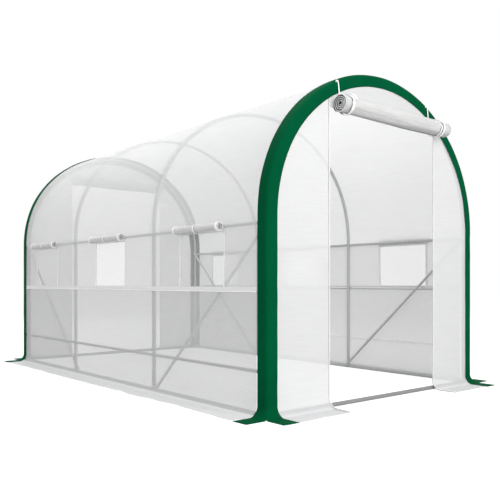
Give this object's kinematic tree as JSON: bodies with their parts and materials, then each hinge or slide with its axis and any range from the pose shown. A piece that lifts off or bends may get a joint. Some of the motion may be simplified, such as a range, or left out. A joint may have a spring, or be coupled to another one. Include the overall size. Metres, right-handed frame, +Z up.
{
  "type": "polytunnel greenhouse",
  "caption": "Walk-in arched tunnel greenhouse: steel hoops under a translucent sheet cover, open doorways with rolled-up doors, netted side windows, green trim and ground flaps.",
  "frame": {"origin": "centre of the ground outline, on the ground", "axes": "+Y runs along the tunnel from the front doorway to the back one, +X to the right as seen from the front, +Z up"},
  "size_m": [2.3418, 3.8418, 2.0353],
  "materials": {
    "tube": "galvanised steel tube, satin grey",
    "cover": "translucent white reinforced sheet",
    "trim": "dark green woven sheet",
    "roll": "white reinforced sheet, rolled up",
    "net": "fine white insect netting",
    "strap": "white tape strap"
  },
  "bodies": {
    "root": {"front_hoop": "tube", "front_middle_hoop": "tube", "back_middle_hoop": "tube", "back_hoop": "tube", "left_base_rail": "tube", "right_base_rail": "tube", "front_base_rail": "tube", "back_base_rail": "tube", "left_upper_rail": "tube", "right_upper_rail": "tube", "left_lower_rail": "tube", "left_braces": "tube", "right_braces": "tube", "left_lower_wall": "cover", "right_lower_wall": "cover", "left_window_wall": "cover", "right_window_wall": "cover", "roof_left": "cover", "roof_crown": "cover", "roof_right": "cover", "left_skirt": "cover", "right_skirt": "cover", "front_wall_left": "cover", "front_wall_right": "cover", "front_wall_top": "cover", "front_skirts": "cover", "back_wall_left": "cover", "back_wall_right": "cover", "back_wall_top": "cover", "back_skirts": "cover", "front_left_corner": "trim", "front_right_corner": "trim", "front_trim_arch": "trim", "back_left_corner": "trim", "back_right_corner": "trim", "back_trim_arch": "trim", "front_door_roll": "roll", "front_roll_straps": "strap", "back_door_roll": "roll", "back_roll_straps": "strap", "left_window_nets": "net", "right_window_nets": "net", "left_window_rolls": "roll", "right_window_rolls": "roll"}
  },
  "joints": []
}
